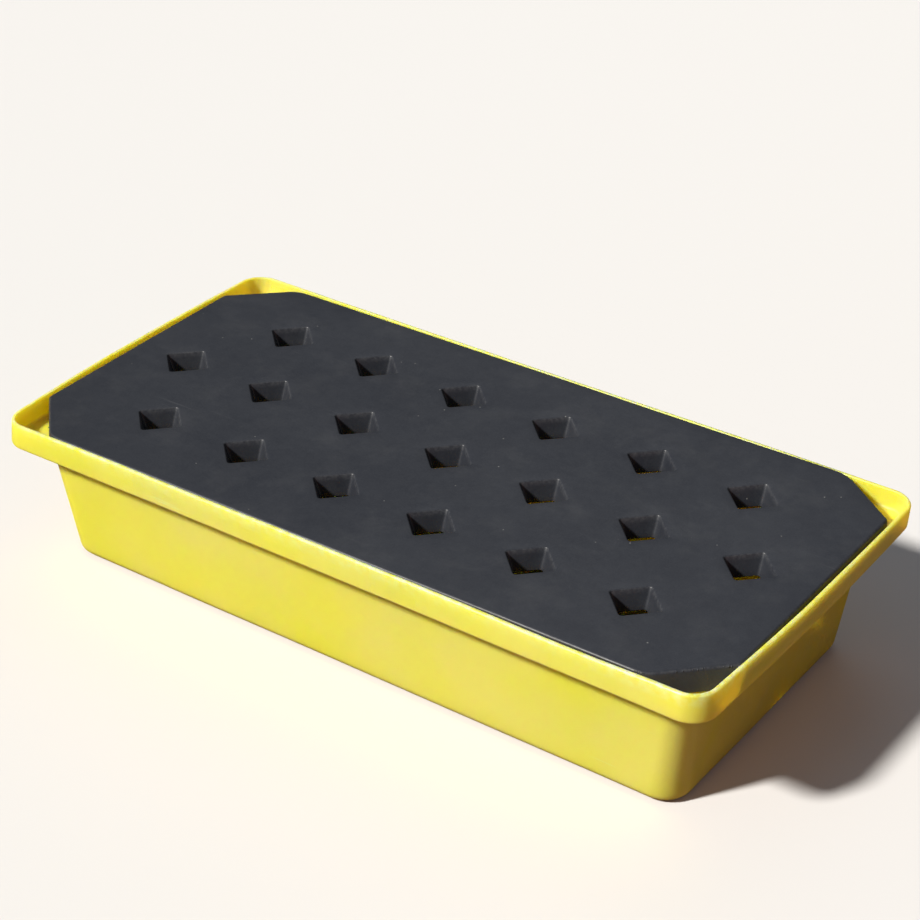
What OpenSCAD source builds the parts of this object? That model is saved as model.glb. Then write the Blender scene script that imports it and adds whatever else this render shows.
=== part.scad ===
// Spill tray with a lift-out drain deck.
// Origin: centre of the tray's underside. +X along the length, +Y across it, +Z up. Millimetres.

/* [Tray] */
// Length across the rim
tray_l = 805; // [700:5:900]
// Width across the rim
tray_w = 405; // [350:5:500]
// Height from the underside to the rim's top edge
tray_h = 160; // [130:1:200]
// Wall thickness of the tray
tray_wall = 4.5; // [3:0.5:6]
// Height of the rim band, from the step's underside to its top edge
rim_h = 26.5; // [25:0.5:32]
// Outer corner radius of the rim band
rim_r = 30; // [24:1:40]
// Width of the step from the rim band in to the body
step_w = 28; // [20:1:32]
// Lean of the body walls, in degrees
draft = 6; // [4:0.5:9]
// Outer corner radius of the body at the step
body_top_r = 24; // [20:1:34]
// Outer corner radius of the body at the base
body_base_r = 29; // [24:1:34]
// Radius between the base and the walls
base_edge_r = 12; // [9:1:14]

/* [Deck] */
// Thickness of the deck
deck_h = 21; // [17:0.5:22]
// Gap between the deck and the rim at each end
end_gap = 1.5; // [1:0.5:4]
// Gap between the deck and the rim along each side
side_gap = 4.5; // [3:0.5:6]
// Length that each corner is cut back by, along both sides
corner_cut = 56; // [46:1:64]
// Radius where a side meets a corner cut
cut_r = 12; // [6:1:16]
// Radius along the deck's top edge
deck_top_r = 3.5; // [2:0.5:4.5]
// Wall thickness of the hollow deck
deck_wall = 4; // [3:0.5:4.5]

/* [Drain pockets] */
// Side of a pocket at the deck's top face
pocket_top = 38; // [32:1:44]
// Side of a pocket at the deck's bottom face
pocket_bottom = 27; // [22:1:30]
// Corner radius of a pocket at the bottom face
pocket_r = 3; // [2:0.5:5]
// Spacing of the pockets along a row
pitch_x = 110.5; // [104:0.5:112]
// Spacing of the rows
pitch_y = 106; // [100:1:110]
// Pockets in the middle row, one more than in the outer rows
pocket_n = 7; // [5:1:7]

/* [Vent plug] */
// Diameter of the vent hole under the deck
vent_d = 10; // [8:0.5:12]
// Diameter of the plug's head
plug_head_d = 16; // [14:0.5:18]
// Thickness of the plug's head
plug_head_h = 1.6; // [1.2:0.1:2]

/* [Hidden] */

corner_steps = 8;
edge_steps = 4;
step_r = 4;
band_r = 3;
lip_r = 1.2;
seat_r = 3;
deck_bottom_r = 2.5;
round_fn = 48;
cut_over = 1;

step_z = tray_h - rim_h;
seat_z = step_z + tray_wall;
deck_l = tray_l - 2 * (tray_wall + end_gap);
deck_w = tray_w - 2 * (tray_wall + side_gap);
deck_top_z = seat_z + deck_h;
slant = 1 / cos(draft);
vent_x = pitch_x / 2;
barb_d = vent_d + 1.4;
barb_h = 3;

// Inset of the body's outer wall from the rim's outer face, at height z
function wall_inset(z) = step_w + (step_z - z) * tan(draft);
// Outer corner radius of the body at height z
function wall_corner(z) = body_base_r + (body_top_r - body_base_r) * z / step_z;

// A rounded rectangle of the tray's outline, moved in by inset, as 3D points
function tray_ring(inset, z, r) = [
    for (corner = [0 : 3], step = [0 : corner_steps])
        let (
            angle = corner * 90 + step * 90 / corner_steps,
            side_x = (corner == 0 || corner == 3) ? 1 : -1,
            side_y = corner < 2 ? 1 : -1
        )
        [
            side_x * (tray_l / 2 - inset - r) + r * cos(angle),
            side_y * (tray_w / 2 - inset - r) + r * sin(angle),
            z
        ]
];

// Rings round an edge whose profile is an arc: its centre, the corner radius there, and its angles
function edge_rings(inset, z, corner_r, arc_r, from, to) = [
    for (step = [0 : edge_steps])
        let (angle = from + (to - from) * step / edge_steps)
        tray_ring(inset - arc_r * cos(angle), z + arc_r * sin(angle), corner_r + arc_r * cos(angle))
];

function base_rings(arc_r, from, to) = edge_rings(
    wall_inset(base_edge_r) + base_edge_r * slant, base_edge_r,
    wall_corner(base_edge_r) - base_edge_r * slant, arc_r, from, to);

function step_rings() = edge_rings(
    wall_inset(step_z - step_r) - step_r * slant, step_z - step_r,
    body_top_r + step_r * slant, step_r, 180 - draft, 90);

function band_rings() = edge_rings(band_r, step_z + band_r, rim_r - band_r, band_r, -90, 0);

function lip_rings(inset, from, to) =
    edge_rings(inset, tray_h - lip_r, rim_r - inset, lip_r, from, to);

function seat_corner_rings() = edge_rings(
    tray_wall + seat_r, seat_z + seat_r, rim_r - tray_wall - seat_r, seat_r, 0, -90);

function seat_edge_rings() = edge_rings(
    wall_inset(seat_z - seat_r) + (tray_wall - seat_r) * slant, seat_z - seat_r,
    body_top_r - tray_wall * slant + seat_r, seat_r, 90, 180 - draft);

// The deck's outline, with its corners cut and rounded, moved in by inset, as 3D points
function deck_ring(inset, z) =
    let (
        half_x = deck_l / 2 - inset,
        half_y = deck_w / 2 - inset,
        cut = corner_cut - inset * (2 - sqrt(2)),
        r = cut_r - inset,
        reach = r * tan(22.5)
    )
    [
        for (corner = [0 : 3], turn = [0, 1], step = [0 : edge_steps])
            let (
                side_x = (corner == 0 || corner == 3) ? 1 : -1,
                side_y = corner < 2 ? 1 : -1,
                upright = (corner + turn) % 2 == 0,
                angle = corner * 90 + turn * 45 + step * 45 / edge_steps,
                x = upright ? half_x - r : half_x - cut - reach,
                y = upright ? half_y - cut - reach : half_y - r
            )
            [side_x * x + r * cos(angle), side_y * y + r * sin(angle), z]
    ];

function deck_edge_rings(inset, z, arc_r, from, to) = [
    for (step = [0 : edge_steps])
        let (angle = from + (to - from) * step / edge_steps)
        deck_ring(inset - arc_r * cos(angle), z + arc_r * sin(angle))
];

function pocket_side(z) =
    pocket_bottom + (pocket_top - pocket_bottom) * (z - seat_z) / deck_h;

// A closed solid through a stack of rings, capped at both ends
module ring_stack(rings) {
    n = len(rings[0]);
    last = len(rings) - 1;
    polyhedron(
        points = [for (ring = rings, point = ring) point],
        faces = concat(
            [[for (i = [0 : n - 1]) i]],
            [
                for (k = [0 : last - 1], i = [0 : n - 1])
                    [k * n + i, (k + 1) * n + i, (k + 1) * n + (i + 1) % n, k * n + (i + 1) % n]
            ],
            [[for (i = [n - 1 : -1 : 0]) last * n + i]]
        ),
        convexity = 6
    );
}

module pocket_outline(side, r) {
    rotate(45)
        union() {
            square([side, side - 2 * r], center = true);
            square([side - 2 * r, side], center = true);
            for (x = [-1, 1], y = [-1, 1])
                translate([x, y] * (side / 2 - r))
                    circle(r, $fn = 20);
        }
}

// A tapered pocket from height z0 to z1, with its walls moved out by grow
module pocket(z0, z1, grow) {
    low = pocket_side(z0) + 2 * grow;
    high = pocket_side(z1) + 2 * grow;
    translate([0, 0, z0])
        linear_extrude(height = z1 - z0, scale = high / low)
            pocket_outline(low, pocket_r + grow);
}

// Three staggered rows, with one pocket fewer in the outer rows
module pocket_grid() {
    for (row = [-1 : 1]) {
        n = row == 0 ? pocket_n : pocket_n - 1;
        for (i = [0 : n - 1])
            translate([(i - (n - 1) / 2) * pitch_x, row * pitch_y, 0])
                children();
    }
}

module deck_cavity() {
    difference() {
        ring_stack([
            deck_ring(deck_wall, seat_z + deck_wall),
            deck_ring(deck_wall, deck_top_z - deck_wall)
        ]);
        pocket_grid()
            pocket(seat_z + deck_wall / 2, deck_top_z - deck_wall / 2, deck_wall);
    }
}

module sump_tray() {
    color("gold")
        ring_stack(concat(
            base_rings(base_edge_r, -90, -draft),
            step_rings(),
            band_rings(),
            lip_rings(lip_r, 0, 90),
            lip_rings(tray_wall - lip_r, 90, 180),
            seat_corner_rings(),
            seat_edge_rings(),
            base_rings(base_edge_r - tray_wall, -draft, -90)
        ));
}

module deck_grid() {
    color("dimgray")
        difference() {
            ring_stack(concat(
                deck_edge_rings(deck_bottom_r, seat_z + deck_bottom_r, deck_bottom_r, -90, 0),
                deck_edge_rings(deck_top_r, deck_top_z - deck_top_r, deck_top_r, 0, 90)
            ));
            deck_cavity();
            pocket_grid()
                pocket(seat_z - cut_over, deck_top_z + cut_over, 0);
            translate([vent_x, 0, seat_z - cut_over])
                cylinder(h = deck_wall + 2 * cut_over, d = vent_d, $fn = round_fn);
        }
}

module vent_plug() {
    color("black")
        translate([vent_x, 0, seat_z])
            rotate_extrude($fn = round_fn)
                polygon([
                    [0, -plug_head_h],
                    [plug_head_d / 2 - plug_head_h / 2, -plug_head_h],
                    [plug_head_d / 2, -plug_head_h / 2],
                    [plug_head_d / 2, 0],
                    [vent_d / 2, 0],
                    [vent_d / 2, deck_wall],
                    [barb_d / 2, deck_wall],
                    [vent_d / 2 - 1, deck_wall + barb_h],
                    [0, deck_wall + barb_h]
                ]);
}

sump_tray();
deck_grid();
vent_plug();
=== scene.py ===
import math

import bmesh
import bpy
from mathutils import Matrix, Vector, noise
from mathutils.geometry import delaunay_2d_cdt


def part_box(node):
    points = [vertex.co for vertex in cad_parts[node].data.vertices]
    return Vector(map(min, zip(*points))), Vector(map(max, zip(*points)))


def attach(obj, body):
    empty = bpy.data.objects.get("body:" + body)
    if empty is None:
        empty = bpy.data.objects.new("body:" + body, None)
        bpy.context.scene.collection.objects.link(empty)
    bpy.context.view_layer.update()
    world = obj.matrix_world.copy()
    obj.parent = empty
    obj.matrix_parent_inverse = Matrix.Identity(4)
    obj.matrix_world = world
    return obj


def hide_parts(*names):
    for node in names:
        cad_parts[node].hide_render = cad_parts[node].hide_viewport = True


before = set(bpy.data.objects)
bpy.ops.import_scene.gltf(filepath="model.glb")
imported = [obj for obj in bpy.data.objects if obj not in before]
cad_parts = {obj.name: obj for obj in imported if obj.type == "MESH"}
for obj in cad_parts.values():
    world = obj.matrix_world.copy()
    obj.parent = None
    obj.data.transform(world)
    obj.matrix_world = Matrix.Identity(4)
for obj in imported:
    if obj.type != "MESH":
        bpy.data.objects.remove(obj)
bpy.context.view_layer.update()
mm = 0.001
print("frame loaded:", ", ".join(sorted(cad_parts)))


# Small node helpers, for geometry and materials alike

def addNode(tree, kind, sockets=None, **settings):
    node = tree.nodes.new(kind)
    for name, value in settings.items():
        setattr(node, name, value)
    for key, value in (sockets or {}).items():
        if isinstance(value, bpy.types.NodeSocket):
            tree.links.new(value, node.inputs[key])
        else:
            node.inputs[key].default_value = value
    return node


def calc(tree, operation, *values):
    return addNode(tree, "ShaderNodeMath", dict(enumerate(values)), operation=operation).outputs[0]


def remap(tree, value, fromLow, fromHigh, toLow=0.0, toHigh=1.0):
    node = addNode(tree, "ShaderNodeMapRange", {
        "Value": value, "From Min": fromLow, "From Max": fromHigh,
        "To Min": toLow, "To Max": toHigh})
    return node.outputs["Result"]


def mixColours(tree, share, first, second, blend="MIX"):
    return addNode(tree, "ShaderNodeMix", {0: share, 6: first, 7: second},
                   data_type="RGBA", blend_type=blend).outputs[2]


def grain(tree, place, scale, detail=2.0, rough=0.5):
    return addNode(tree, "ShaderNodeTexNoise", {
        "Vector": place, "Scale": scale, "Detail": detail, "Roughness": rough}).outputs[0]


def newShapeTree(name, inputs):
    tree = bpy.data.node_groups.new(name, "GeometryNodeTree")
    tree.interface.new_socket("Shape", in_out="INPUT", socket_type="NodeSocketGeometry")
    for label, (kind, value) in inputs.items():
        socket = tree.interface.new_socket(label, in_out="INPUT", socket_type="NodeSocket" + kind)
        if value is not None:
            socket.default_value = value
    tree.interface.new_socket("Shape", in_out="OUTPUT", socket_type="NodeSocketGeometry")
    return tree, tree.nodes.new("NodeGroupInput").outputs


def endShapeTree(tree, shape, material):
    smooth = addNode(tree, "GeometryNodeSetShadeSmooth", {"Geometry": shape})
    real = addNode(tree, "GeometryNodeRealizeInstances", {"Geometry": smooth.outputs[0]})
    coloured = addNode(tree, "GeometryNodeSetMaterial",
                       {"Geometry": real.outputs[0], "Material": material})
    addNode(tree, "NodeGroupOutput", {0: coloured.outputs[0]})


def runTrees(name, startMesh, steps):
    # Puts the trees on a scratch object, keeps the result as a plain mesh and clears up
    scratch = bpy.data.objects.new(name, startMesh)
    bpy.context.scene.collection.objects.link(scratch)
    for tree, values in steps:
        modifier = scratch.modifiers.new(tree.name, "NODES")
        modifier.node_group = tree
        for item in tree.interface.items_tree:
            if item.in_out == "INPUT" and item.name in values:
                modifier[item.identifier] = values[item.name]
    bpy.context.view_layer.update()
    evaluated = scratch.evaluated_get(bpy.context.evaluated_depsgraph_get())
    made = bpy.data.meshes.new_from_object(evaluated)
    bpy.data.objects.remove(scratch)
    return made


def pointMesh(name, points):
    mesh = bpy.data.meshes.new(name)
    mesh.from_pydata(points, [(i, i + 1) for i in range(len(points) - 1)], [])
    return mesh


def finishPiece(name, shape, materials, body, cadNode):
    mesh = bpy.data.meshes.new(name)
    shape.to_mesh(mesh)
    shape.free()
    for polygon in mesh.polygons:
        polygon.use_smooth = True
    mesh.materials.clear()
    for material in materials:
        mesh.materials.append(material)
    piece = bpy.data.objects.new(name, mesh)
    bpy.context.scene.collection.objects.link(piece)
    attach(piece, body)
    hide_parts(cadNode)
    return piece


def markEdges(mesh, wearAndHighlight):
    # How much wear each point has, and on the lips and top edges how much painted highlight, for
    # the material
    layer = mesh.attributes.new("edgeWearAndHighlight", "FLOAT", "POINT")
    layer.data.foreach_set("value", [wearAndHighlight(v.co) for v in mesh.vertices])


# The loft: rounded rectangles stacked along a profile

def roundedLoftTree():
    # Each profile point holds a ring's inset, its corner radius and its height
    tree, given = newShapeTree("roundedLoft", {
        "Length": ("Float", 0.8), "Width": ("Float", 0.4), "Height": ("Float", 0.16),
        "Corner Points": ("Int", 12), "Side Points": ("Int", 20),
        "End Bulge": ("Float", 0.0), "Side Pull": ("Float", 0.0),
        "Unevenness": ("Float", 0.0), "Trim Wobble": ("Float", 0.0),
        "Seed": ("Float", 0.0), "Material": ("Material", None)})
    profile = given["Shape"]
    cornerCount, sideCount = given["Corner Points"], given["Side Points"]
    rings = addNode(tree, "GeometryNodeAttributeDomainSize", {"Geometry": profile})
    span = calc(tree, "ADD", cornerCount, sideCount)
    columns = calc(tree, "MULTIPLY_ADD", span, 4.0, 1.0)
    grid = addNode(tree, "GeometryNodeMeshGrid",
                   {"Vertices X": rings.outputs["Point Count"], "Vertices Y": columns})

    index = addNode(tree, "GeometryNodeInputIndex").outputs[0]
    ring = calc(tree, "FLOOR", calc(tree, "DIVIDE", index, columns))
    column = calc(tree, "SUBTRACT", index, calc(tree, "MULTIPLY", ring, columns))
    corner = calc(tree, "FLOOR", calc(tree, "DIVIDE", column, span))
    step = calc(tree, "SUBTRACT", column, calc(tree, "MULTIPLY", corner, span))

    place = addNode(tree, "GeometryNodeInputPosition").outputs[0]
    row = addNode(tree, "GeometryNodeSampleIndex",
                  {"Geometry": profile, "Value": place, "Index": ring},
                  data_type="FLOAT_VECTOR", domain="POINT")
    inset, radius, height = addNode(tree, "ShaderNodeSeparateXYZ", {0: row.outputs[0]}).outputs

    turned = calc(tree, "DIVIDE", calc(tree, "MINIMUM", step, cornerCount), cornerCount)
    angle = calc(tree, "MULTIPLY", calc(tree, "ADD", corner, turned), math.pi / 2)
    along = calc(tree, "SUBTRACT", step, cornerCount)
    along = calc(tree, "DIVIDE", calc(tree, "MAXIMUM", along, 0.0), sideCount)
    middle = calc(tree, "MULTIPLY_ADD", corner, math.pi / 2, math.pi / 4)
    nextMiddle = calc(tree, "ADD", middle, math.pi / 2)
    plan = []
    for size, wave in ((given["Length"], "COSINE"), (given["Width"], "SINE")):
        here = calc(tree, "SIGN", calc(tree, wave, middle))
        there = calc(tree, "SIGN", calc(tree, wave, nextMiddle))
        side = calc(tree, "MULTIPLY_ADD", calc(tree, "SUBTRACT", there, here), along, here)
        reach = calc(tree, "SUBTRACT", calc(tree, "MULTIPLY", size, 0.5), inset)
        reach = calc(tree, "SUBTRACT", reach, radius)
        arc = calc(tree, "MULTIPLY", radius, calc(tree, wave, angle))
        plan.append(calc(tree, "MULTIPLY_ADD", side, reach, arc))

    # The moulding relaxes as it cools: the ends swell and the long sides draw in
    x, y = plan
    shareX = calc(tree, "DIVIDE", calc(tree, "MULTIPLY", x, 2.0), given["Length"])
    shareY = calc(tree, "DIVIDE", calc(tree, "MULTIPLY", y, 2.0), given["Width"])
    level = calc(tree, "DIVIDE", height, given["Height"])

    def relaxed(value, share, otherShare, power, amount):
        crown = calc(tree, "SUBTRACT", 1.0, calc(tree, "MULTIPLY", otherShare, otherShare))
        near = calc(tree, "POWER", calc(tree, "ABSOLUTE", share), power)
        push = calc(tree, "MULTIPLY", calc(tree, "MULTIPLY", crown, near), level)
        push = calc(tree, "MULTIPLY", calc(tree, "MULTIPLY", push, amount),
                    calc(tree, "SIGN", share))
        return calc(tree, "ADD", value, push)

    newX = relaxed(x, shareX, shareY, 8.0, given["End Bulge"])
    newY = relaxed(y, shareY, shareX, 4.0, calc(tree, "MULTIPLY", given["Side Pull"], -1.0))
    target = addNode(tree, "ShaderNodeCombineXYZ", {0: newX, 1: newY, 2: height}).outputs[0]
    shaped = addNode(tree, "GeometryNodeSetPosition",
                     {"Geometry": grid.outputs["Mesh"], "Position": target})
    closed = addNode(tree, "GeometryNodeMergeByDistance",
                     {"Geometry": shaped.outputs[0], "Distance": 0.00001})

    # Gentle waves in the wall, and an uneven knife cut along the top edge
    drift = addNode(tree, "ShaderNodeTexNoise",
                    {"Vector": place, "W": given["Seed"], "Scale": 7.0, "Detail": 1.0},
                    noise_dimensions="4D").outputs[0]
    drift = calc(tree, "MULTIPLY", calc(tree, "SUBTRACT", drift, 0.5), given["Unevenness"])
    normal = addNode(tree, "GeometryNodeInputNormal").outputs[0]
    wave = addNode(tree, "ShaderNodeVectorMath", {0: normal, "Scale": drift}, operation="SCALE")
    waved = addNode(tree, "GeometryNodeSetPosition",
                    {"Geometry": closed.outputs[0], "Offset": wave.outputs[0]})
    nick = addNode(tree, "ShaderNodeTexNoise",
                   {"Vector": place, "W": given["Seed"], "Scale": 38.0, "Detail": 2.0},
                   noise_dimensions="4D").outputs[0]
    top = addNode(tree, "ShaderNodeSeparateXYZ", {0: place}).outputs[2]
    atTop = remap(tree, calc(tree, "DIVIDE", top, given["Height"]), 0.985, 1.0)
    cut = calc(tree, "MULTIPLY", calc(tree, "SUBTRACT", nick, 0.7), given["Trim Wobble"])
    cut = addNode(tree, "ShaderNodeCombineXYZ", {2: calc(tree, "MULTIPLY", cut, atTop)})
    trimmed = addNode(tree, "GeometryNodeSetPosition",
                      {"Geometry": waved.outputs[0], "Offset": cut.outputs[0]})
    endShapeTree(tree, trimmed.outputs[0], given["Material"])
    return tree


loftTree = roundedLoftTree()
print("loft tree ready")


# Materials

def newFinish(name):
    material = bpy.data.materials.new(name)
    material.use_nodes = True
    tree = material.node_tree
    shader = next(n for n in tree.nodes if n.type == "BSDF_PRINCIPLED")
    place = addNode(tree, "ShaderNodeTexCoord").outputs["Object"]
    wearAndHighlight = addNode(tree, "ShaderNodeAttribute", attribute_name="edgeWearAndHighlight").outputs["Fac"]
    return material, tree, shader, place, wearAndHighlight


def stretched(tree, place, turn, scale):
    return addNode(tree, "ShaderNodeMapping",
                   {"Vector": place, "Rotation": turn, "Scale": scale}).outputs[0]


def bumps(tree, shader, layers):
    # Stacks the heights, each with its own depth in metres
    below = None
    for height, strength, depth in layers:
        sockets = {"Height": height, "Strength": strength, "Distance": depth}
        if below is not None:
            sockets["Normal"] = below
        below = addNode(tree, "ShaderNodeBump", sockets).outputs[0]
    tree.links.new(below, shader.inputs["Normal"])


yellowFinish = {
    "light": (0.985, 0.685, 0.125, 1), "deep": (0.960, 0.715, 0.060, 1),
    # The paler scuff colour also paints a highlight along the rim's lip
    "scuffAndHighlight": (0.93, 0.86, 0.38, 1), "dust": (0.80, 0.74, 0.52, 1),
    "roughLow": 0.36, "roughHigh": 0.52, "burnish": -0.05, "scuffed": 0.35, "rubbedAndHighlit": 0.45,
    "ior": 1.5, "translucency": 1.0, "glowDepth": 21 * mm, "glowSpread": (1.0, 0.74, 0.13),
}


def yellowPolyethylene():
    material, tree, shader, place, wearAndHighlight = newFinish("yellowPolyethylene")
    cloudy = grain(tree, place, 8.0, 3.0)
    fine = grain(tree, place, 420.0, 2.0)
    pigment = mixColours(tree, remap(tree, cloudy, 0.36, 0.64),
                         yellowFinish["deep"], yellowFinish["light"])
    speckle = remap(tree, grain(tree, place, 1300.0, 1.0), 0.62, 0.75, 0.0, 0.16)
    pigment = mixColours(tree, speckle, pigment, yellowFinish["deep"])
    streaks = grain(tree, stretched(tree, place, (0.3, 0.2, 0.5), (12, 260, 190)), 1.0, 3.0, 0.6)
    patches = remap(tree, grain(tree, place, 9.0, 2.0), 0.5, 0.68)
    scuffs = calc(tree, "MULTIPLY", remap(tree, streaks, 0.66, 0.74), patches)
    # Paler along the rubbed edges; on the rim's lip this is partly a painted highlight
    rubbedAndHighlit = calc(tree, "MULTIPLY", wearAndHighlight, remap(tree, grain(tree, place, 120.0), 0.35, 0.65))
    marksAndHighlight = calc(tree, "MAXIMUM", calc(tree, "MULTIPLY", scuffs, yellowFinish["scuffed"]),
                 calc(tree, "MULTIPLY", rubbedAndHighlit, yellowFinish["rubbedAndHighlit"]))
    pigment = mixColours(tree, marksAndHighlight, pigment, yellowFinish["scuffAndHighlight"])
    normal = addNode(tree, "ShaderNodeNewGeometry").outputs["Normal"]
    upward = addNode(tree, "ShaderNodeSeparateXYZ", {0: normal}).outputs[2]
    settled = calc(tree, "MULTIPLY", remap(tree, upward, 0.6, 1.0, 0.0, 0.16),
                   remap(tree, grain(tree, place, 34.0, 4.0, 0.65), 0.45, 0.7))
    pigment = mixColours(tree, settled, pigment, yellowFinish["dust"])
    tree.links.new(pigment, shader.inputs["Base Color"])
    rough = remap(tree, grain(tree, place, 26.0, 4.0, 0.6), 0.3, 0.7,
                  yellowFinish["roughLow"], yellowFinish["roughHigh"])
    rough = calc(tree, "MULTIPLY_ADD", marksAndHighlight, 0.12, rough)
    rough = calc(tree, "MULTIPLY_ADD", wearAndHighlight, yellowFinish["burnish"], rough)
    tree.links.new(rough, shader.inputs["Roughness"])
    shader.inputs["IOR"].default_value = yellowFinish["ior"]
    shader.inputs["Subsurface Weight"].default_value = yellowFinish["translucency"]
    shader.inputs["Subsurface Radius"].default_value = yellowFinish["glowSpread"]
    shader.inputs["Subsurface Scale"].default_value = yellowFinish["glowDepth"]
    bumps(tree, shader, [
        (grain(tree, place, 55.0, 2.0), 0.35, 1.0 * mm),
        (fine, 0.50, 0.25 * mm),
        (streaks, 0.10, 0.10 * mm)])
    return material


blackFinish = {
    "light": (0.0255, 0.0280, 0.0350, 1), "deep": (0.0165, 0.0185, 0.0250, 1),
    # The grey worn colour also paints the highlight along the deck's rounded top edges
    "wearAndHighlight": (0.100, 0.103, 0.110, 1), "dust": (0.26, 0.26, 0.25, 1),
    "roughLow": 0.38, "roughHigh": 0.50, "burnish": -0.02, "ior": 1.5, "gloss": 0.38,
    "speckShare": 0.13, "haze": 0.045,
}


def blackPolyethylene():
    material, tree, shader, place, wearAndHighlight = newFinish("blackPolyethylene")
    cloudy = grain(tree, place, 7.0, 4.0, 0.6)
    mottle = grain(tree, place, 90.0, 3.0, 0.6)
    sand = grain(tree, place, 520.0, 2.0)
    both = calc(tree, "ADD", calc(tree, "MULTIPLY", cloudy, 0.45),
                calc(tree, "MULTIPLY", mottle, 0.25))
    both = calc(tree, "MULTIPLY_ADD", sand, 0.3, both)
    pigment = mixColours(tree, remap(tree, both, 0.38, 0.62),
                         blackFinish["deep"], blackFinish["light"])
    streaks = grain(tree, stretched(tree, place, (0.0, 0.0, 0.9), (9, 240, 120)), 1.0, 3.0, 0.6)
    patches = remap(tree, grain(tree, place, 8.0, 2.0), 0.48, 0.66)
    scuffs = calc(tree, "MULTIPLY", remap(tree, streaks, 0.66, 0.76, 0.0, 0.35), patches)
    # A grey band on the rounded top edges and pocket lips: edge wear and a painted highlight
    rubbedAndHighlit = calc(tree, "MULTIPLY", wearAndHighlight,
                  remap(tree, grain(tree, place, 260.0, 3.0), 0.4, 0.65, 0.06, 0.38))
    marksAndHighlight = calc(tree, "MAXIMUM", scuffs, rubbedAndHighlit)
    pigment = mixColours(tree, marksAndHighlight, pigment, blackFinish["wearAndHighlight"])
    cells = addNode(tree, "ShaderNodeTexVoronoi", {"Vector": place, "Scale": 75.0})
    kept = calc(tree, "GREATER_THAN",
                addNode(tree, "ShaderNodeSeparateColor",
                        {0: cells.outputs["Color"]}).outputs[0], 1 - blackFinish["speckShare"])
    specks = calc(tree, "MULTIPLY", kept,
                  remap(tree, cells.outputs["Distance"], 0.035, 0.07, 0.6, 0.0))
    haze = remap(tree, grain(tree, place, 18.0, 5.0, 0.7), 0.5, 0.8, 0.0, blackFinish["haze"])
    pigment = mixColours(tree, calc(tree, "MAXIMUM", specks, haze), pigment, blackFinish["dust"])
    tree.links.new(pigment, shader.inputs["Base Color"])
    rough = remap(tree, grain(tree, place, 30.0, 5.0, 0.65), 0.3, 0.7,
                  blackFinish["roughLow"], blackFinish["roughHigh"])
    rough = calc(tree, "MULTIPLY_ADD", specks, 0.3, rough)
    rough = calc(tree, "MULTIPLY_ADD", wearAndHighlight, blackFinish["burnish"], rough)
    tree.links.new(rough, shader.inputs["Roughness"])
    shader.inputs["IOR"].default_value = blackFinish["ior"]
    shader.inputs["Specular IOR Level"].default_value = blackFinish["gloss"]
    bumps(tree, shader, [
        (grain(tree, place, 60.0, 2.0), 0.25, 0.8 * mm),
        (grain(tree, place, 650.0, 3.0, 0.6), 0.55, 0.20 * mm),
        (specks, 0.4, 0.25 * mm)])
    return material


flashFinish = {
    "light": (0.62, 0.62, 0.60, 1), "deep": (0.22, 0.22, 0.21, 1),
    "roughLow": 0.25, "roughHigh": 0.5,
}


def trimmedFlash():
    material, tree, shader, place, _ = newFinish("trimmedFlash")
    colour = mixColours(tree, remap(tree, grain(tree, place, 900.0), 0.4, 0.6),
                        flashFinish["deep"], flashFinish["light"])
    tree.links.new(colour, shader.inputs["Base Color"])
    rough = remap(tree, grain(tree, place, 700.0), 0.3, 0.7,
                  flashFinish["roughLow"], flashFinish["roughHigh"])
    tree.links.new(rough, shader.inputs["Roughness"])
    bumps(tree, shader, [(grain(tree, place, 1500.0), 0.4, 0.1 * mm)])
    return material


plugFinish = {
    "light": (0.030, 0.030, 0.032, 1), "deep": (0.014, 0.014, 0.015, 1),
    "roughLow": 0.28, "roughHigh": 0.42, "ior": 1.5,
}


def plugPlastic():
    material, tree, shader, place, _ = newFinish("plugPlastic")
    pigment = mixColours(tree, remap(tree, grain(tree, place, 160.0, 3.0), 0.35, 0.65),
                         plugFinish["deep"], plugFinish["light"])
    tree.links.new(pigment, shader.inputs["Base Color"])
    rough = remap(tree, grain(tree, place, 500.0, 3.0), 0.3, 0.7,
                  plugFinish["roughLow"], plugFinish["roughHigh"])
    tree.links.new(rough, shader.inputs["Roughness"])
    shader.inputs["IOR"].default_value = plugFinish["ior"]
    bumps(tree, shader, [(grain(tree, place, 1800.0, 2.0), 0.25, 0.08 * mm)])
    return material


yellow, black, flash, plugBlack = (
    yellowPolyethylene(), blackPolyethylene(), trimmedFlash(), plugPlastic())
print("finishes ready")


# The tray

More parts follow.
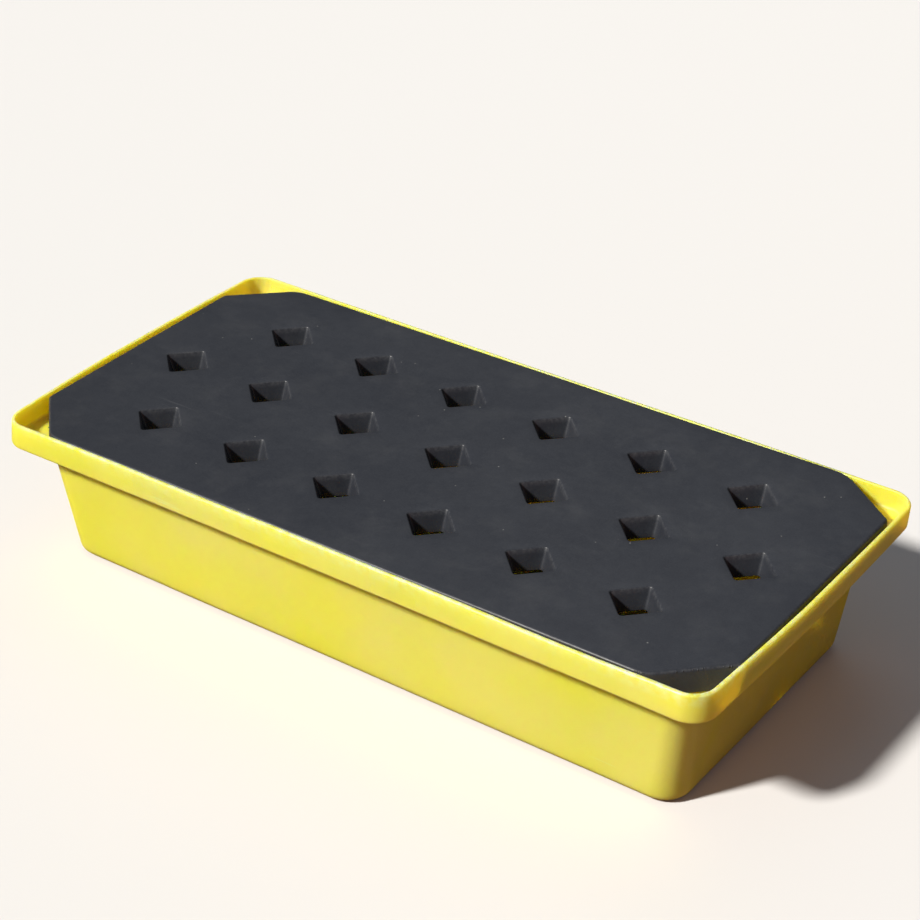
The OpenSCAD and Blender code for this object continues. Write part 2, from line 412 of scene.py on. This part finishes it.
trayLow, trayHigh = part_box("sump_tray")
traySpec = {
    "length": trayHigh.x - trayLow.x, "width": trayHigh.y - trayLow.y,
    "height": trayHigh.z - trayLow.z,
    "wall": 4.5 * mm, "rimHeight": 26.5 * mm, "rimRadius": 26 * mm, "cornerFill": -2 * mm,
    "stepWidth": 28 * mm, "lean": math.radians(6),
    "bodyTopRadius": 24 * mm, "bodyBaseRadius": 29 * mm,
    "baseEdge": 12 * mm, "stepEdge": 4 * mm, "bandEdge": 3 * mm,
    # where the rim is out of true: shares of the half length and width, reach, and shift
    "rimSet": ((1, -1, 190 * mm, (0, 0, 4.2 * mm)), (-1, -1, 160 * mm, (3.5 * mm, 0, 0)),
               (1, 1, 160 * mm, (1.5 * mm, 0, -1.5 * mm)),
               (0, -1, 320 * mm, (0, 0, 2.8 * mm)), (-0.7, -1, 200 * mm, (0, 0, 2.1 * mm)),
               (0.5, -1, 200 * mm, (0, 0, 1.0 * mm))),
    "lipOuter": 2.6 * mm, "lipInner": 1.1 * mm, "seatEdge": 3 * mm,
    "middleInset": 12 * mm, "middleRadius": 8 * mm,
    "cornerPoints": 16, "sidePoints": 28, "arcPoints": 6, "longestStep": 14 * mm,
    "endBulge": 4.7 * mm, "sidePull": 1.7 * mm,
    "unevenness": 1.1 * mm, "trimWobble": 0.9 * mm, "seed": 4.0,
    # The top band holds wear and a painted highlight; the step and base bands hold wear
    "lipWearAndHighlight": 2 * mm, "wearStep": 3 * mm, "wearBase": 5 * mm,
}


def arcRows(inset, z, corner, radius, start, end, count):
    # Profile rows round an arc: each ring's inset, corner radius and height
    rows = []
    for i in range(count + 1):
        angle = start + (end - start) * i / count
        rows.append((inset - radius * math.cos(angle), corner + radius * math.cos(angle),
                     z + radius * math.sin(angle)))
    return rows


def filledRows(rows, longest):
    # Adds rows where two neighbours stand far apart
    full = [rows[0]]
    for row in rows[1:]:
        gap = math.hypot(row[0] - full[-1][0], row[2] - full[-1][2])
        pieces = max(1, math.ceil(gap / longest))
        start = full[-1]
        full += [tuple(a + (b - a) * i / pieces for a, b in zip(start, row))
                 for i in range(1, pieces + 1)]
    return full


def trayProfile(spec):
    quarter, lean = math.pi / 2, spec["lean"]
    slant = 1 / math.cos(lean)
    stepZ = spec["height"] - spec["rimHeight"]
    seatZ = stepZ + spec["wall"]
    wall, count, rimTop = spec["wall"], spec["arcPoints"], spec["height"]

    def wallInset(z):
        return spec["stepWidth"] + (stepZ - z) * math.tan(lean)

    def wallCorner(z):
        base, top = spec["bodyBaseRadius"], spec["bodyTopRadius"]
        return base + (top - base) * z / stepZ

    base, step, band = spec["baseEdge"], spec["stepEdge"], spec["bandEdge"]
    lipOuter, lipInner, seat = spec["lipOuter"], spec["lipInner"], spec["seatEdge"]
    rim = spec["rimRadius"]
    inner = rim - wall + spec["cornerFill"]
    baseInset, baseCorner = wallInset(base) + base * slant, wallCorner(base) - base * slant
    middle = spec["width"] / 2 - spec["middleInset"]
    rows = [(middle, spec["middleRadius"], 0.0)]
    rows += arcRows(baseInset, base, baseCorner, base, -quarter, -lean, count)
    rows += arcRows(wallInset(stepZ - step) - step * slant, stepZ - step,
                    spec["bodyTopRadius"] + step * slant, step, math.pi - lean, quarter, count)
    rows += arcRows(band, stepZ + band, rim - band, band, -quarter, 0.0, count)
    rows += arcRows(lipOuter, rimTop - lipOuter, rim - lipOuter, lipOuter, 0.0, quarter, count)
    rows += arcRows(wall - lipInner, rimTop - lipInner, inner + lipInner, lipInner,
                    quarter, math.pi, count)
    rows += arcRows(wall + seat, seatZ + seat, inner - seat, seat, 0.0, -quarter, count)
    rows += arcRows(wallInset(seatZ - seat) + (wall - seat) * slant, seatZ - seat,
                    spec["bodyTopRadius"] - wall * slant + seat, seat,
                    quarter, math.pi - lean, count)
    rows += arcRows(baseInset, base, baseCorner, base - wall, -lean, -quarter, count)
    rows.append((middle, spec["middleRadius"], wall))
    return filledRows(rows, spec["longestStep"])


def settleRim(shape, spec):
    # The rim has cooled a little out of true, most at its corners
    stepZ = spec["height"] - spec["rimHeight"]
    for shareX, shareY, reach, shift in spec["rimSet"]:
        spot = Vector((shareX * spec["length"] / 2, shareY * spec["width"] / 2))
        for vertex in shape.verts:
            height = (vertex.co.z - stepZ) / spec["rimHeight"]
            near = 1 - (vertex.co.xy - spot).length / reach
            if height > 0 and near > 0:
                vertex.co += Vector(shift) * height * near * near * (3 - 2 * near)


def buildTray(spec):
    profile = pointMesh("trayProfile", trayProfile(spec))
    mesh = runTrees("trayScratch", profile, [(loftTree, {
        "Length": spec["length"], "Width": spec["width"], "Height": spec["height"],
        "Corner Points": spec["cornerPoints"], "Side Points": spec["sidePoints"],
        "End Bulge": spec["endBulge"], "Side Pull": spec["sidePull"],
        "Unevenness": spec["unevenness"], "Trim Wobble": spec["trimWobble"],
        "Seed": spec["seed"], "Material": yellow})])
    shape = bmesh.new()
    shape.from_mesh(mesh)
    bmesh.ops.remove_doubles(shape, verts=shape.verts, dist=0.01 * mm)
    openEdges = [e for e in shape.edges if e.is_boundary]
    bmesh.ops.holes_fill(shape, edges=openEdges, sides=0)
    settleRim(shape, spec)
    bmesh.ops.recalc_face_normals(shape, faces=shape.faces)
    tray = finishPiece("sumpTray", shape, [yellow], "tray", "sump_tray")
    top, stepZ = spec["height"], spec["height"] - spec["rimHeight"]

    # The band at the top is rubbed wear and a painted highlight on the lip; the step and base
    # bands are wear
    def wearAndHighlight(point):
        nearTop = 1 - min(1, (top - point.z) / spec["lipWearAndHighlight"])
        nearStep = 1 - min(1, abs(point.z - stepZ - mm) / spec["wearStep"])
        nearBase = 1 - min(1, abs(point.z - 3 * mm) / spec["wearBase"])
        return max(0.0, nearTop, 0.5 * nearStep, 0.8 * nearBase)

    markEdges(tray.data, wearAndHighlight)
    return tray


sumpTray = buildTray(traySpec)
print("tray built:", len(sumpTray.data.polygons), "faces")


# The deck

deckLow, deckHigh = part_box("deck_grid")
deckSpread = Vector((3.0 * mm, 2.5 * mm))  # how far the deck has grown past its drawn size
deckSpec = {
    "length": deckHigh.x - deckLow.x + deckSpread.x,
    "width": deckHigh.y - deckLow.y + deckSpread.y,
    "bottom": deckLow.z, "top": deckHigh.z, "liesAt": Vector((1.8 * mm, 0.8 * mm, 1.45 * mm)),
    "turned": math.radians(0.2), "tipped": math.radians(-0.14),
    # for each corner: its cut along and across, and the radius at the cut's two ends
    "cuts": ((68 * mm, 52 * mm, 44 * mm, 6 * mm), (60 * mm, 56 * mm, 30 * mm, 8 * mm),
             (55 * mm, 58 * mm, 26 * mm, 8 * mm), (60 * mm, 60 * mm, 24 * mm, 7 * mm)),
    "cutFeet": (1.5 * mm, 1.5 * mm, 1.5 * mm, 10 * mm),  # how far each cut leans out
    "longestCut": 68 * mm,
    "topEdge": 2.8 * mm, "bottomEdge": 2.5 * mm,
    "wall": 4 * mm, "arcPoints": 6, "turnPoints": 6, "sidePoints": 40, "cutPoints": 6,
    "pocketTop": 39.5 * mm, "pocketBottom": 27.5 * mm, "pocketCorner": 3.2 * mm,
    "pocketLip": 1.2 * mm, "pocketFoot": 1.0 * mm, "lipPoints": 3, "wallRows": 4,
    "mouthCornerPoints": 5, "mouthSidePoints": 3,
    "pitchAlong": 110.5 * mm, "pitchAcross": 106 * mm, "pocketsInMiddle": 7,
    "meshStep": 13 * mm, "edgeMargin": 6 * mm, "cutMargin": 8 * mm, "mouthMargin": 3 * mm,
    "wave": 0.5 * mm, "waveScale": 6, "ventRadius": 5 * mm, "ventPoints": 32,
    # The last entry places the band of edge wear and painted highlight on the rounded edges
    "innerEdge": 1.0 * mm, "innerLip": -0.5 * mm, "edgeWearAndHighlightDepth": 0.35,
}


def pocketRowsTree():
    # Three staggered rows, with one pocket fewer in the outer rows
    tree, given = newShapeTree("pocketRows", {
        "Along": ("Float", 0.11), "Across": ("Float", 0.106), "Count": ("Int", 7),
        "Material": ("Material", None)})
    along, across = given["Along"], given["Across"]
    lastColumn = calc(tree, "MULTIPLY", calc(tree, "SUBTRACT", given["Count"], 1.0), along)
    grid = addNode(tree, "GeometryNodeMeshGrid", {
        "Size X": lastColumn, "Size Y": calc(tree, "MULTIPLY", across, 2.0),
        "Vertices X": given["Count"], "Vertices Y": 3})
    place = addNode(tree, "GeometryNodeInputPosition").outputs[0]
    x, y, _ = addNode(tree, "ShaderNodeSeparateXYZ", {0: place}).outputs
    outer = calc(tree, "GREATER_THAN", calc(tree, "ABSOLUTE", y),
                 calc(tree, "MULTIPLY", across, 0.5))
    edge = calc(tree, "MULTIPLY", calc(tree, "SUBTRACT", lastColumn, along), 0.5)
    spare = calc(tree, "MULTIPLY", outer,
                 calc(tree, "GREATER_THAN", x, calc(tree, "ADD", edge, 0.001)))
    kept = addNode(tree, "GeometryNodeDeleteGeometry",
                   {"Geometry": grid.outputs["Mesh"], "Selection": spare})
    half = calc(tree, "MULTIPLY", calc(tree, "MULTIPLY", along, 0.5), outer)
    shift = addNode(tree, "ShaderNodeCombineXYZ", {0: half})
    places = addNode(tree, "GeometryNodeSetPosition",
                     {"Geometry": kept.outputs[0], "Offset": shift.outputs[0]})
    pockets = addNode(tree, "GeometryNodeInstanceOnPoints", {
        "Points": places.outputs[0], "Instance": given["Shape"],
        "Rotation": (0.0, 0.0, math.pi / 4)})
    endShapeTree(tree, pockets.outputs[0], given["Material"])
    return tree


rowsTree = pocketRowsTree()


def pocketHalf(spec, z):
    share = (z - spec["bottom"]) / (spec["top"] - spec["bottom"])
    return (spec["pocketBottom"] + (spec["pocketTop"] - spec["pocketBottom"]) * share) / 2


def pocketMesh(spec, low, high, grow, lip, foot):
    # The walls of all the pockets between two heights, moved out by grow
    outer = pocketHalf(spec, spec["top"])
    corner = spec["pocketCorner"] + grow

    def row(z, flare):
        side = pocketHalf(spec, z) + grow + flare
        return (outer - side, corner + flare, z)

    angles = [math.pi / 2 * i / spec["lipPoints"] for i in range(spec["lipPoints"] + 1)]
    rows = [row(high - lip * (1 - math.cos(a)), lip * (1 - math.sin(a))) for a in angles]
    for i in range(1, spec["wallRows"]):
        rows.append(row(high - lip + (low + foot - high + lip) * i / spec["wallRows"], 0.0))
    rows += [row(low + foot * (1 - math.sin(a)), foot * (1 - math.cos(a))) for a in angles]
    size = 2 * outer
    return runTrees("pocketScratch", pointMesh("pocketProfile", rows), [
        (loftTree, {"Length": size, "Width": size, "Height": high,
                    "Corner Points": spec["mouthCornerPoints"],
                    "Side Points": spec["mouthSidePoints"], "Material": black}),
        (rowsTree, {"Along": spec["pitchAlong"], "Across": spec["pitchAcross"],
                    "Count": spec["pocketsInMiddle"], "Material": black})])


def pocketCentres(spec):
    for rowNumber in (-1, 0, 1):
        count = spec["pocketsInMiddle"] - abs(rowNumber)
        for i in range(count):
            yield (i - (count - 1) / 2) * spec["pitchAlong"], rowNumber * spec["pitchAcross"]


def deckOutline(spec, z):
    # The eight turns of the outline, each with its radius, from the right end's far turn round
    halfX, halfY = spec["length"] / 2, spec["width"] / 2
    depth = (spec["top"] - z) / (spec["top"] - spec["bottom"])
    turns = []
    for number, (along, across, longRadius, endRadius) in enumerate(spec["cuts"]):
        sideX, sideY = (1, -1, -1, 1)[number], (1, 1, -1, -1)[number]
        foot = spec["cutFeet"][number] * depth
        along, across = along - foot, across - foot
        pair = [(Vector((sideX * halfX, sideY * (halfY - across))), endRadius),
                (Vector((sideX * (halfX - along), sideY * halfY)), longRadius)]
        turns += pair if number % 2 == 0 else pair[::-1]
    return turns


def deckRing(spec, inset, z):
    turns = deckOutline(spec, z)
    arcs = []
    for i, (place, radius) in enumerate(turns):
        before = (place - turns[i - 1][0]).normalized()
        after = (turns[(i + 1) % 8][0] - place).normalized()
        inBefore, inAfter = Vector((-before.y, before.x)), Vector((-after.y, after.x))
        place = place + (inBefore + inAfter) * inset / (1 + inBefore.dot(inAfter))
        radius = max(radius - inset, 0.5 * mm)
        bend = before.angle(after)
        centre = place - before * radius * math.tan(bend / 2) + inBefore * radius
        start = math.atan2(-inBefore.y, -inBefore.x)
        arcs.append([(centre.x + radius * math.cos(start + bend * k / spec["turnPoints"]),
                      centre.y + radius * math.sin(start + bend * k / spec["turnPoints"]), z)
                     for k in range(spec["turnPoints"] + 1)])
    ring = []
    for i, arc in enumerate(arcs):
        ring += arc
        start, end = arc[-1], arcs[(i + 1) % 8][0]
        pieces = spec["cutPoints"] if i % 2 == 0 else spec["sidePoints"]
        if i % 4 == 3:
            pieces = spec["sidePoints"] // 2
        ring += [tuple(a + (b - a) * k / pieces for a, b in zip(start, end))
                 for k in range(1, pieces)]
    return ring


def addRings(shape, rings):
    rows = [[shape.verts.new(p) for p in ring] for ring in rings]
    for upper, lower in zip(rows, rows[1:]):
        for i in range(len(upper)):
            j = (i + 1) % len(upper)
            shape.faces.new((upper[i], lower[i], lower[j], upper[j]))


def addPanel(shape, spec, outline, openEdges, z, pocketSize, pocketCorner, vent):
    # Fills the flat face between the outline and the pockets' mouths
    points = [Vector((p[0], p[1])) for p in outline]
    edges = [(i, (i + 1) % len(outline)) for i in range(len(outline))]
    for a, b in openEdges:
        points += [Vector(a.xy), Vector(b.xy)]
        edges.append((len(points) - 2, len(points) - 1))
    if vent:
        first = len(points)
        points += [Vector(p[:2]) for p in vent]
        edges += [(first + i, first + (i + 1) % len(vent)) for i in range(len(vent))]
    ventPlace = sum((Vector(p[:2]) for p in vent), Vector((0, 0))) / len(vent) if vent else None
    centres = list(pocketCentres(spec))

    def inPocket(x, y, margin):
        # A pocket is a square turned 45 degrees, with rounded corners
        half = pocketSize + margin
        for a, b in centres:
            u = abs(x - a + y - b) / math.sqrt(2)
            v = abs(x - a - y + b) / math.sqrt(2)
            if max(u, v) < half and math.hypot(max(0, u - half + pocketCorner),
                                               max(0, v - half + pocketCorner)) < pocketCorner:
                return True
        return False

    def inVent(x, y, margin):
        return vent and (Vector((x, y)) - ventPlace).length < spec["ventRadius"] + margin

    halfX = max(p[0] for p in outline)
    halfY = max(p[1] for p in outline)
    step, edgeMargin, mouthMargin = spec["meshStep"], spec["edgeMargin"], spec["mouthMargin"]
    countX, countY = int(halfX / step), int(halfY / step)
    for i in range(-countX, countX + 1):
        for j in range(-countY, countY + 1):
            x, y = i * step, (j + 0.5 * (i % 2)) * step
            inside = (abs(x) < halfX - edgeMargin and abs(y) < halfY - edgeMargin
                      and abs(x) + abs(y) < halfX + halfY - spec["longestCut"] - spec["cutMargin"])
            if inside and not inPocket(x, y, mouthMargin) and not inVent(x, y, mouthMargin):
                points.append(Vector((x, y)))
    verts, _, faces, *_ = delaunay_2d_cdt(points, edges, [], 1, 0.005 * mm)
    made = [shape.verts.new((p.x, p.y, z)) for p in verts]
    for face in faces:
        centre = sum((verts[i] for i in face), Vector((0, 0))) / len(face)
        if not inPocket(centre.x, centre.y, 0) and not inVent(centre.x, centre.y, 0):
            shape.faces.new([made[i] for i in face])


def addShell(shape, spec, inset, low, high, topEdge, bottomEdge, lip, foot, vent):
    # One closed skin of the deck: outer edge, pocket walls, top and bottom faces
    count, quarter = spec["arcPoints"], math.pi / 2
    rings = [deckRing(spec, inset + topEdge * (1 - math.sin(quarter * i / count)),
                      high - topEdge * (1 - math.cos(quarter * i / count)))
             for i in range(count + 1)]
    middle = (low + bottomEdge + high - topEdge) / 2
    rings.append(deckRing(spec, inset, middle))
    rings += [deckRing(spec, inset + bottomEdge * (1 - math.cos(quarter * i / count)),
                       low + bottomEdge * (1 - math.sin(quarter * i / count)))
              for i in range(count + 1)]
    addRings(shape, rings)
    walls = pocketMesh(spec, low, high, inset, lip, foot)
    before = len(shape.verts)
    shape.from_mesh(walls)
    shape.verts.index_update()
    openEdges = [e for e in shape.edges if e.is_boundary and e.verts[0].index >= before]
    for z, outline, flare in ((high, rings[0], lip), (low, rings[-1], foot)):
        size = pocketHalf(spec, z) + inset + flare
        mouths = [(e.verts[0].co, e.verts[1].co) for e in openEdges
                  if abs(e.verts[0].co.z - z) < 0.01 * mm and abs(e.verts[1].co.z - z) < 0.01 * mm]
        addPanel(shape, spec, outline, mouths, z, size - 0.05 * mm,
                 spec["pocketCorner"] + inset + flare, vent if z == low else None)


# The nibs are thickest on the first corner's cut
nibSpec = {"count": 46, "size": 0.9 * mm, "firstShare": 0.42, "otherShare": 0.12, "seed": 11,
           "inset": 0.9 * mm, "drop": 1.2 * mm}


def flashNibsTree():
    # Small nibs left where the moulding's flash was trimmed off an edge
    tree, given = newShapeTree("flashNibs", {
        "Count": ("Int", 40), "Size": ("Float", 0.0006), "Share": ("Float", 0.4),
        "Seed": ("Int", 1), "Material": ("Material", None)})
    line = addNode(tree, "GeometryNodeMeshToCurve", {"Mesh": given["Shape"]})
    spots = addNode(tree, "GeometryNodeResampleCurve",
                    {"Curve": line.outputs[0], "Count": given["Count"]})
    nib = addNode(tree, "GeometryNodeMeshIcoSphere", {"Radius": given["Size"], "Subdivisions": 1})

    def chance(kind, sockets, output):
        return addNode(tree, "FunctionNodeRandomValue", {**sockets, "Seed": given["Seed"]},
                       data_type=kind).outputs[output]

    picked = chance("BOOLEAN", {"Probability": given["Share"]}, 3)
    scale = chance("FLOAT_VECTOR", {0: (0.6, 0.4, 0.4), 1: (2.6, 1.1, 1.2)}, 0)
    turn = chance("FLOAT_VECTOR", {0: (-0.4, -0.4, -3.1), 1: (0.4, 0.4, 3.1)}, 0)
    nibs = addNode(tree, "GeometryNodeInstanceOnPoints", {
        "Points": spots.outputs[0], "Selection": picked, "Instance": nib.outputs["Mesh"],
        "Rotation": turn, "Scale": scale})
    endShapeTree(tree, nibs.outputs[0], given["Material"])
    return tree


def addNibs(shape, spec):
    tree = flashNibsTree()
    ring = deckRing(spec, nibSpec["inset"], spec["top"] - nibSpec["drop"])
    lines = []
    for sideX, sideY in ((1, -1), (-1, 1), (1, 1), (-1, -1)):
        near = [p for p in ring if p[0] * sideX > 0 and p[1] * sideY > 0
                and abs(p[0]) > spec["length"] / 2 - spec["longestCut"] - 2 * mm
                and abs(p[1]) > spec["width"] / 2 - spec["longestCut"] - 2 * mm]
        lines.append(sorted(near, key=lambda p: p[0]))
    for number, line in enumerate(lines):
        nibs = runTrees("nibScratch", pointMesh("nibLine", line), [(tree, {
            "Count": nibSpec["count"], "Size": nibSpec["size"],
            "Share": nibSpec["otherShare"] if number else nibSpec["firstShare"],
            "Seed": nibSpec["seed"] + number, "Material": flash})])
        before = len(shape.faces)
        shape.from_mesh(nibs)
        shape.faces.ensure_lookup_table()
        for face in shape.faces[before:]:
            face.material_index = 1


# The deck lies a little off centre, turned, and high at its right end
deckLies = (Matrix.Translation(deckSpec["liesAt"]) @ Matrix.Rotation(deckSpec["turned"], 4, "Z")
            @ Matrix.Rotation(deckSpec["tipped"], 4, "Y"))


def buildDeck(spec):
    plugLow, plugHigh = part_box("vent_plug")
    ventX, ventY = (plugLow.x + plugHigh.x) / 2, (plugLow.y + plugHigh.y) / 2
    turns = [2 * math.pi * i / spec["ventPoints"] for i in range(spec["ventPoints"])]

    def ventRing(z):
        return [(ventX + spec["ventRadius"] * math.cos(a),
                 ventY + spec["ventRadius"] * math.sin(a), z) for a in turns]

    shape = bmesh.new()
    low, high, wall = spec["bottom"], spec["top"], spec["wall"]
    addShell(shape, spec, 0.0, low, high, spec["topEdge"], spec["bottomEdge"],
             spec["pocketLip"], spec["pocketFoot"], ventRing(low))
    addShell(shape, spec, wall, low + wall, high - wall, spec["innerEdge"], spec["innerEdge"],
             spec["innerLip"], spec["innerLip"], ventRing(low + wall))
    addRings(shape, [ventRing(low), ventRing(low + wall)])
    bmesh.ops.remove_doubles(shape, verts=shape.verts, dist=0.02 * mm)
    bmesh.ops.recalc_face_normals(shape, faces=shape.faces)
    openCount = sum(1 for e in shape.edges if not e.is_manifold)
    print("deck edges left open:", openCount)

    def lift(x, y):
        # The deck's top is very slightly wavy
        scale = spec["waveScale"]
        return noise.noise(Vector((x * scale, y * scale, 2.5))) * spec["wave"]

    for vert in shape.verts:
        x, y, z = vert.co
        vert.co.z = z + lift(x, y) * (z - low) / (high - low)
    for face in shape.faces:
        face.material_index = 0
    addNibs(shape, spec)
    shape.transform(deckLies)
    deck = finishPiece("deckGrid", shape, [black, flash], "deck", "deck_grid")

    upright = deckLies.inverted()

    # Peaks partway round the rounded top edges and pocket lips: edge wear and a painted highlight
    def wearAndHighlight(point):
        x, y, z = upright @ point
        depth = (high + lift(x, y) - z) / spec["topEdge"]
        return max(0.0, 1 - abs(depth - spec["edgeWearAndHighlightDepth"]) / spec["edgeWearAndHighlightDepth"])

    markEdges(deck.data, wearAndHighlight)
    return deck


deckGrid = buildDeck(deckSpec)
print("deck built:", len(deckGrid.data.polygons), "faces")


# The vent plug, pushed in from below

plugSpec = {"head": 8 * mm, "headHeight": 1.6 * mm, "stem": 5 * mm, "barb": 5.7 * mm,
            "length": 7 * mm, "segments": 56}


def buildPlug(spec):
    low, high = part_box("vent_plug")
    centre = (low + high) / 2
    seat = low.z + spec["headHeight"]
    head, stem, barb = spec["head"], spec["stem"], spec["barb"]
    # Radius and height from the seat: the dished head, the stem, the barb and the hollow end
    profile = [
        (0.0, -1.05 * mm), (1.6 * mm, -1.05 * mm), (2.0 * mm, -1.15 * mm), (2.3 * mm, -1.5 * mm),
        (2.8 * mm, -1.6 * mm), (head - 1.6 * mm, -1.58 * mm), (head - 0.8 * mm, -1.4 * mm),
        (head - 0.25 * mm, -1.0 * mm), (head, -0.5 * mm), (head - 0.1 * mm, -0.1 * mm),
        (head - 0.4 * mm, 0.0), (stem + 0.1 * mm, 0.0), (stem - 0.05 * mm, 0.1 * mm),
        (stem - 0.05 * mm, 3.8 * mm), (stem, 4.05 * mm), (barb - 0.2 * mm, 4.1 * mm),
        (barb, 4.35 * mm), (barb - 0.1 * mm, 4.7 * mm), (stem - 0.6 * mm, 6.7 * mm),
        (stem - 1.0 * mm, 6.95 * mm), (stem - 1.6 * mm, spec["length"]),
        (2.2 * mm, spec["length"]), (1.9 * mm, 6.8 * mm), (1.8 * mm, 3.0 * mm), (0.0, 2.8 * mm)]
    shape = bmesh.new()
    rings = []
    for radius, z in profile:
        if radius == 0.0:
            rings.append([shape.verts.new((centre.x, centre.y, seat + z))])
            continue
        rings.append([shape.verts.new((centre.x + radius * math.cos(a),
                                       centre.y + radius * math.sin(a), seat + z))
                      for a in (2 * math.pi * i / spec["segments"]
                                for i in range(spec["segments"]))])
    for upper, lower in zip(rings, rings[1:]):
        for i in range(spec["segments"]):
            j = (i + 1) % spec["segments"]
            corners = [upper[i % len(upper)], upper[j % len(upper)],
                       lower[j % len(lower)], lower[i % len(lower)]]
            shape.faces.new(list(dict.fromkeys(corners)))
    shape.transform(deckLies)
    bmesh.ops.recalc_face_normals(shape, faces=shape.faces)
    return finishPiece("ventPlug", shape, [plugBlack], "deck", "vent_plug")


ventPlug = buildPlug(plugSpec)
print("plug built:", len(ventPlug.data.polygons), "faces")


# Floor, lights and camera

stageSpec = {
    "floorColour": (0.66, 0.655, 0.65, 1), "bounceColour": (0.17, 0.105, 0.075, 1),
    "floorRough": 0.9, "floorHalf": 60.0, "floorDrop": 0.5 * mm,
    "skyColour": (0.80, 0.90, 1.0, 1), "horizonColour": (0.16, 0.10, 0.06, 1),
    "skyFrom": 0.05, "skyTo": 0.45, "worldStrength": 0.16,
    "backdropColour": (0.86, 0.855, 0.84, 1), "lampAim": (0, 0, 0.1),
    "keyFrom": (-2.7, -5.6, 5.7), "keySpread": math.radians(6),
    "keyPower": 5.85, "keyColour": (1.0, 0.96, 0.90),
    "topPlace": (-1.0, 2.2, 3.0), "topSize": 2.2,
    "topPower": 8.0, "topColour": (0.94, 0.96, 1.0),
    "fillPlace": (3.4, -0.6, 0.9), "fillSize": 1.6,
    "fillPower": 7.0, "fillColour": (1.0, 0.38, 0.25),
}


def buildFloor():
    mesh = bpy.data.meshes.new("studioFloor")
    size, low = stageSpec["floorHalf"], -stageSpec["floorDrop"]
    corners = [(-size, -size, low), (size, -size, low), (size, size, low), (-size, size, low)]
    mesh.from_pydata(corners, [], [(0, 1, 2, 3)])
    floor = bpy.data.objects.new("studioFloor", mesh)
    bpy.context.scene.collection.objects.link(floor)
    material = bpy.data.materials.new("paleFloor")
    material.use_nodes = True
    tree = material.node_tree
    shader = next(n for n in tree.nodes if n.type == "BSDF_PRINCIPLED")
    # The floor looks pale, but throws little of its light back up at the tray
    seen = addNode(tree, "ShaderNodeLightPath").outputs["Is Camera Ray"]
    colour = mixColours(tree, seen, stageSpec["bounceColour"], stageSpec["floorColour"])
    tree.links.new(colour, shader.inputs["Base Color"])
    shader.inputs["Roughness"].default_value = stageSpec["floorRough"]
    mesh.materials.append(material)


def addLamp(name, place, size, power, colour):
    lamp = bpy.data.lights.new(name, "AREA")
    lamp.shape, lamp.size, lamp.energy, lamp.color = "DISK", size, power, colour
    holder = bpy.data.objects.new(name, lamp)
    holder.location = place
    aim = Vector(stageSpec["lampAim"]) - Vector(place)
    holder.rotation_euler = aim.to_track_quat("-Z", "Y").to_euler()
    bpy.context.scene.collection.objects.link(holder)


def addKeyLight():
    light = bpy.data.lights.new("keyLight", "SUN")
    light.angle, light.energy = stageSpec["keySpread"], stageSpec["keyPower"]
    light.color = stageSpec["keyColour"]
    holder = bpy.data.objects.new("keyLight", light)
    holder.rotation_euler = (-Vector(stageSpec["keyFrom"])).to_track_quat("-Z", "Y").to_euler()
    bpy.context.scene.collection.objects.link(holder)


def buildWorld():
    world = bpy.data.worlds.new("studioWorld")
    world.use_nodes = True
    tree = world.node_tree
    place = addNode(tree, "ShaderNodeTexCoord").outputs["Generated"]
    height = addNode(tree, "ShaderNodeSeparateXYZ", {0: place}).outputs[2]
    sky = mixColours(tree, remap(tree, height, stageSpec["skyFrom"], stageSpec["skyTo"]),
                     stageSpec["horizonColour"], stageSpec["skyColour"])
    sky = addNode(tree, "ShaderNodeVectorMath", {0: sky, "Scale": stageSpec["worldStrength"]},
                  operation="SCALE").outputs[0]
    # The backdrop looks pale, but lights the tray only as a dim sky
    seen = addNode(tree, "ShaderNodeLightPath").outputs["Is Camera Ray"]
    sky = mixColours(tree, seen, sky, stageSpec["backdropColour"])
    background = tree.nodes["Background"]
    tree.links.new(sky, background.inputs["Color"])
    background.inputs["Strength"].default_value = 1.0
    bpy.context.scene.world = world


buildFloor()
addKeyLight()
for lampName in ("top", "fill"):
    addLamp(lampName + "Lamp", stageSpec[lampName + "Place"], stageSpec[lampName + "Size"],
            stageSpec[lampName + "Power"], stageSpec[lampName + "Colour"])
buildWorld()
bpy.context.scene.view_settings.view_transform = "Standard"

cameraSpec = {
    "place": (1.11636, -1.57829, 1.32227), "azimuth": 35.793, "elevation": 31.025,
    "lens": 91.15, "sensor": 36.0, "shift": (0.0346, -0.0034),
}
camera = bpy.data.objects.new("sceneCamera", bpy.data.cameras.new("sceneCamera"))
camera.data.lens, camera.data.sensor_width = cameraSpec["lens"], cameraSpec["sensor"]
camera.data.shift_x, camera.data.shift_y = cameraSpec["shift"]
camera.location = cameraSpec["place"]
camera.rotation_euler = (math.radians(90 - cameraSpec["elevation"]), 0.0,
                         math.radians(cameraSpec["azimuth"]))
bpy.context.scene.collection.objects.link(camera)
bpy.context.scene.camera = camera
print("floor, lights and camera ready")
